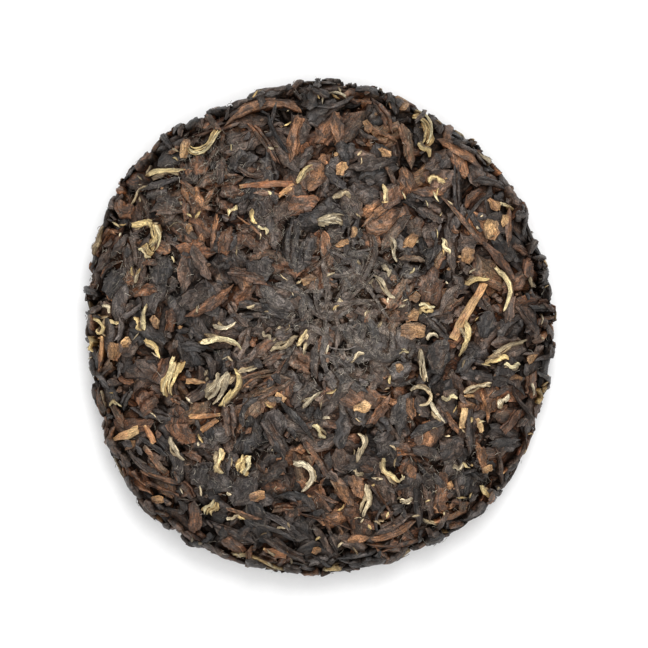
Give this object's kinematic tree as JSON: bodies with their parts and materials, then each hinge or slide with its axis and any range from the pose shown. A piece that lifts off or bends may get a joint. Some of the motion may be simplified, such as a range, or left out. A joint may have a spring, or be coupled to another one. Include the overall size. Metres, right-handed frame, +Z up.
{
  "type": "oolong tea cake",
  "caption": "Round pressed cake of dark twisted oolong leaves with pale buds and twigs, soft shoulders and a flat underside.",
  "frame": {"origin": "middle of the underside, on the plane the cake rests on", "axes": "+Z up through the thickness, +Y along the slightly longer diameter, towards the top of the picture"},
  "size_m": [0.1033, 0.1094, 0.0198],
  "materials": {
    "tea_cake": "dried pressed tea leaf, dull with faint glossy ridges"
  },
  "bodies": {
    "root": {"tea_cake": "tea_cake"}
  },
  "joints": []
}
